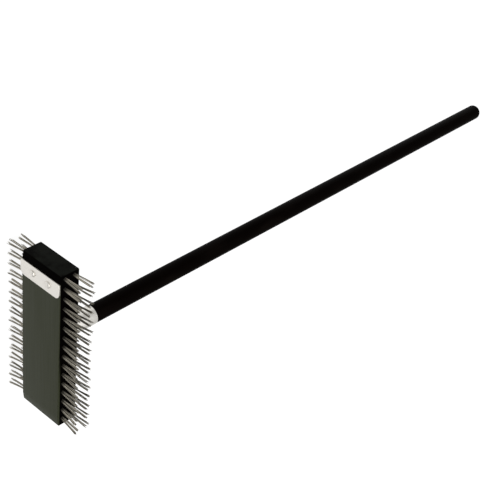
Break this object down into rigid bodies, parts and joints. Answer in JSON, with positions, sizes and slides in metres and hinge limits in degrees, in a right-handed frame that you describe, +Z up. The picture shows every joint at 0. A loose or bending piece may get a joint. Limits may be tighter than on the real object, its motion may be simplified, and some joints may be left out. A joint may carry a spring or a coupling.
{
  "type": "two-sided wire scrub brush",
  "caption": "Long-handled scrub brush: a flat wooden head with steel wire tufts on both long edges, a riveted scraper on its front face and a round handle that screws into its back.",
  "frame": {"origin": "middle of the bounding box in plan, on the surface that the lower tufts' tips rest on", "axes": "+X along the handle from the scraper to the handle's tip, +Y along the head towards the scraper end, +Z up through the two brush faces"},
  "size_m": [0.9462, 0.226, 0.1242],
  "materials": {
    "painted_wood": "satin charcoal paint over hardwood",
    "bristle_wire": "flat tempered steel wire",
    "anchor_steel": "flat steel wire",
    "scraper_steel": "satin sheet steel",
    "rivet_steel": "satin domed heads",
    "ferrule_steel": "satin zinc-plated sheet",
    "stud_steel": "zinc-plated thread",
    "lacquered_wood": "glossy black lacquer over hardwood"
  },
  "bodies": {
    "head": {"head_block": "painted_wood", "upper_tufts_front": "bristle_wire", "upper_tufts_rear": "bristle_wire", "lower_tufts_front": "bristle_wire", "lower_tufts_rear": "bristle_wire", "upper_anchors_front": "anchor_steel", "upper_anchors_rear": "anchor_steel", "lower_anchors_front": "anchor_steel", "lower_anchors_rear": "anchor_steel", "scraper_blade": "scraper_steel", "scraper_rivets": "rivet_steel"},
    "ferrule": {"ferrule": "ferrule_steel"},
    "handle": {"handle_stud": "stud_steel", "handle": "lacquered_wood"}
  },
  "joints": [
    {"name": "handle_travel", "type": "slide", "parent": "head", "child": "ferrule", "axis": [1, 0, 0], "range_m": [0, 0.02032]},
    {"name": "handle_turn", "type": "hinge", "parent": "ferrule", "child": "handle", "pos_m": [-0.4419, 0, 0.0621], "axis": [1, 0, 0], "range_deg": [0, 1440]}
  ],
  "couplings": [
    {"joint": "handle_travel", "follows": "handle_turn", "m_per_rad": 0.0008085}
  ]
}
